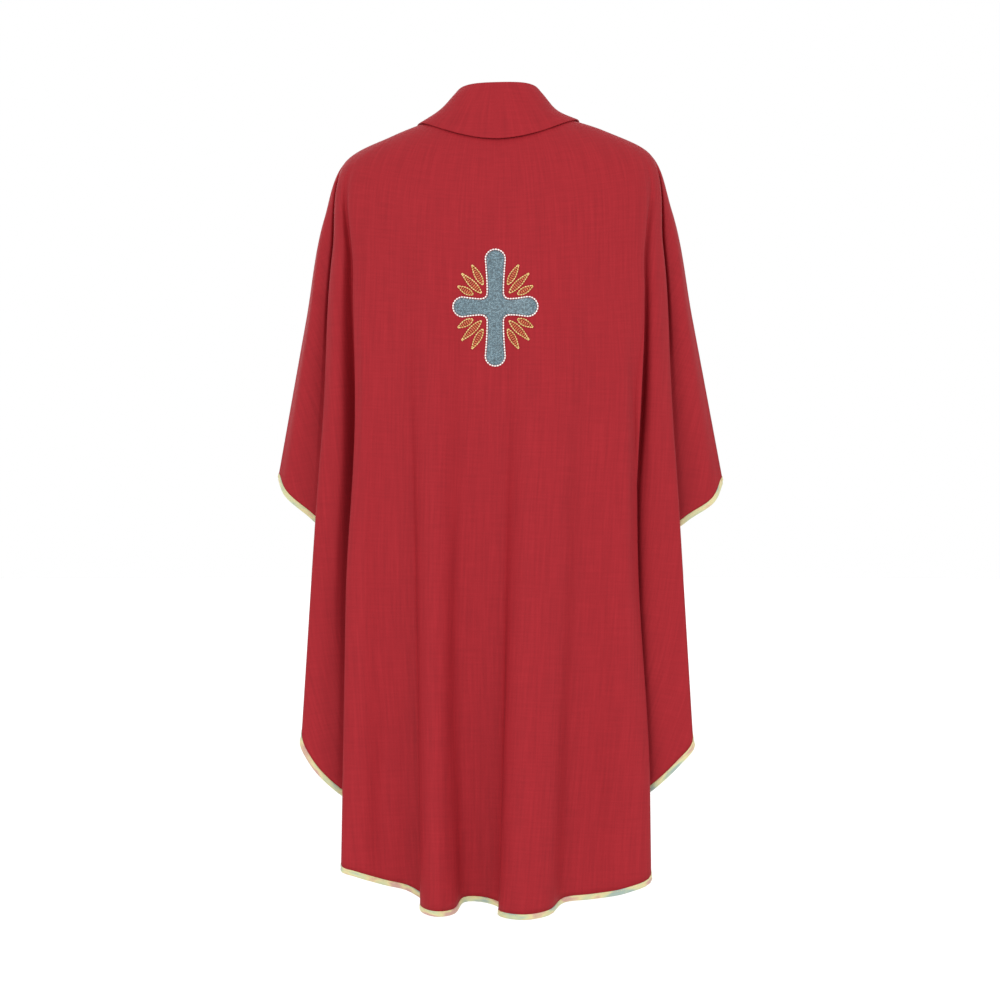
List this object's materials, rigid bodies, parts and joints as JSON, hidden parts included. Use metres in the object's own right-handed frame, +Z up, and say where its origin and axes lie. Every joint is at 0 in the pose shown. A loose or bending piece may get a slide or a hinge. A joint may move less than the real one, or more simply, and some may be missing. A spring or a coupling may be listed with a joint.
{
  "type": "chasuble",
  "caption": "Hollow poncho vestment held by the neck and shoulders: draped back and front panels, rolled fall collar, contrasting hem strip and a raised cross on the back.",
  "frame": {"origin": "middle of the neck opening between the shoulder seams, where the wearer's neck and shoulders hold the garment", "axes": "+Z up, -Y the garment's back, +Y its front, +X towards the wearer's right"},
  "size_m": [0.7129, 0.4472, 1.2913],
  "materials": {
    "red_cloth": "fine slubbed plain weave, soft low sheen",
    "pale_gold_strip": "satin ribbed strip",
    "satin_embroidery": "satin stitch thread"
  },
  "bodies": {
    "root": {"back_panel": "red_cloth", "front_panel": "red_cloth", "collar": "red_cloth", "hem_strip_back": "pale_gold_strip", "hem_strip_front": "pale_gold_strip", "cross": "satin_embroidery"}
  },
  "joints": []
}
